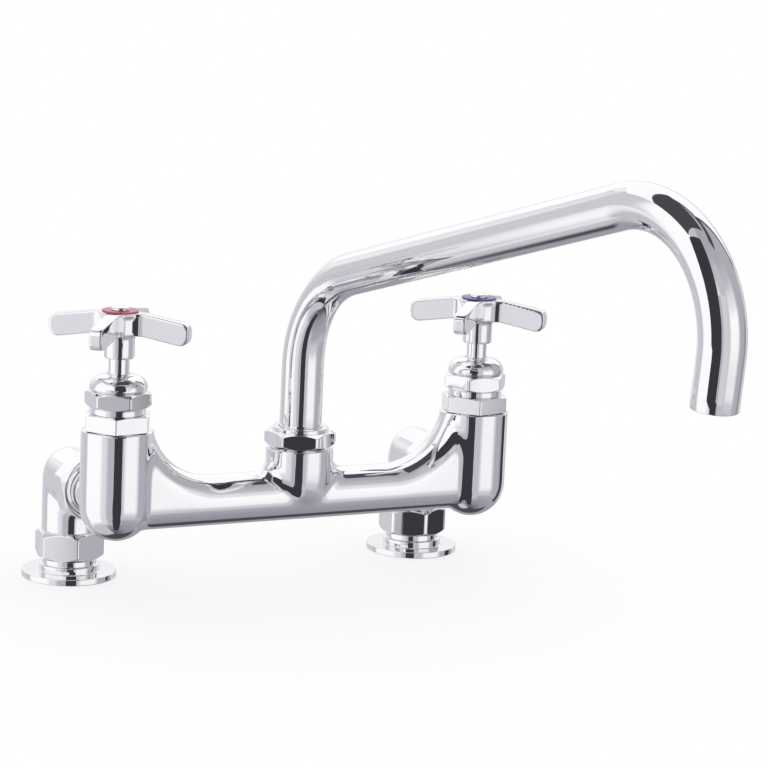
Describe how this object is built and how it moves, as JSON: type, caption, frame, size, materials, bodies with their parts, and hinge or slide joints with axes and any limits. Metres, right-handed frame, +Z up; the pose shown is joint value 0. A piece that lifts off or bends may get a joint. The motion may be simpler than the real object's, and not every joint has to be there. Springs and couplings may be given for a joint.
{
  "type": "bridge faucet",
  "caption": "Deck-mounted bridge faucet with two compression valves, four-arm handles, supply elbows and a long swinging bent-tube spout.",
  "frame": {"origin": "on the counter, midway between the two supply inlets", "axes": "+Z up, the user stands at -Y, hot side at -X and cold side at +X"},
  "size_m": [0.2628, 0.4036, 0.2485],
  "materials": {
    "polished_chrome": "polished",
    "plain_brass": "machined",
    "spring_steel": "drawn wire",
    "black_rubber": "moulded",
    "fibre": "pressed fibre",
    "ptfe": "smooth",
    "red_index": "glossy",
    "blue_index": "glossy"
  },
  "bodies": {
    "faucet_body": {"bridge_body": "polished_chrome", "hot_bonnet": "polished_chrome", "hot_bonnet_gasket": "fibre", "hot_packing_nut": "polished_chrome", "hot_packing": "ptfe", "hot_packing_gland": "plain_brass", "hot_seat": "plain_brass", "hot_elbow": "polished_chrome", "hot_inlet_flange": "polished_chrome", "hot_rear_nut": "polished_chrome", "hot_rear_snap_ring": "spring_steel", "hot_rear_washer": "fibre", "hot_lower_nut": "polished_chrome", "hot_lower_snap_ring": "spring_steel", "hot_lower_washer": "fibre", "cold_bonnet": "polished_chrome", "cold_bonnet_gasket": "fibre", "cold_packing_nut": "polished_chrome", "cold_packing": "ptfe", "cold_packing_gland": "plain_brass", "cold_seat": "plain_brass", "cold_elbow": "polished_chrome", "cold_inlet_flange": "polished_chrome", "cold_rear_nut": "polished_chrome", "cold_rear_snap_ring": "spring_steel", "cold_rear_washer": "fibre", "cold_lower_nut": "polished_chrome", "cold_lower_snap_ring": "spring_steel", "cold_lower_washer": "fibre", "spout_thrust_washer": "ptfe", "spout_nut": "polished_chrome"},
    "spout": {"spout_tube": "polished_chrome", "spout_tail": "plain_brass", "spout_o_rings": "black_rubber"},
    "hot_carrier": {"hot_washer_holder": "plain_brass", "hot_holder_clip": "spring_steel", "hot_seat_washer": "black_rubber", "hot_washer_screw": "plain_brass"},
    "hot_stem_group": {"hot_stem": "polished_chrome", "hot_handle": "polished_chrome", "hot_index_ring": "red_index", "hot_handle_screw": "polished_chrome"},
    "cold_carrier": {"cold_washer_holder": "plain_brass", "cold_holder_clip": "spring_steel", "cold_seat_washer": "black_rubber", "cold_washer_screw": "plain_brass"},
    "cold_stem_group": {"cold_stem": "polished_chrome", "cold_handle": "polished_chrome", "cold_index_ring": "blue_index", "cold_handle_screw": "polished_chrome"}
  },
  "joints": [
    {"name": "spout_swing", "type": "hinge", "parent": "faucet_body", "child": "spout", "pos_m": [0, -0.0667, 0.0842], "axis": [0, 0, 1], "continuous": true},
    {"name": "hot_lift", "type": "slide", "parent": "faucet_body", "child": "hot_carrier", "axis": [0, 0, 1], "range_m": [0, 0.003]},
    {"name": "hot_turn", "type": "hinge", "parent": "hot_carrier", "child": "hot_stem_group", "pos_m": [-0.1016, -0.0667, 0.1296], "axis": [0, 0, 1], "range_deg": [0, 450]},
    {"name": "cold_lift", "type": "slide", "parent": "faucet_body", "child": "cold_carrier", "axis": [0, 0, 1], "range_m": [0, 0.003]},
    {"name": "cold_turn", "type": "hinge", "parent": "cold_carrier", "child": "cold_stem_group", "pos_m": [0.1016, -0.0667, 0.1296], "axis": [0, 0, 1], "range_deg": [0, 450]}
  ],
  "couplings": [
    {"joint": "hot_lift", "follows": "hot_turn", "m_per_rad": 0.00038197},
    {"joint": "cold_lift", "follows": "cold_turn", "m_per_rad": 0.00038197}
  ]
}
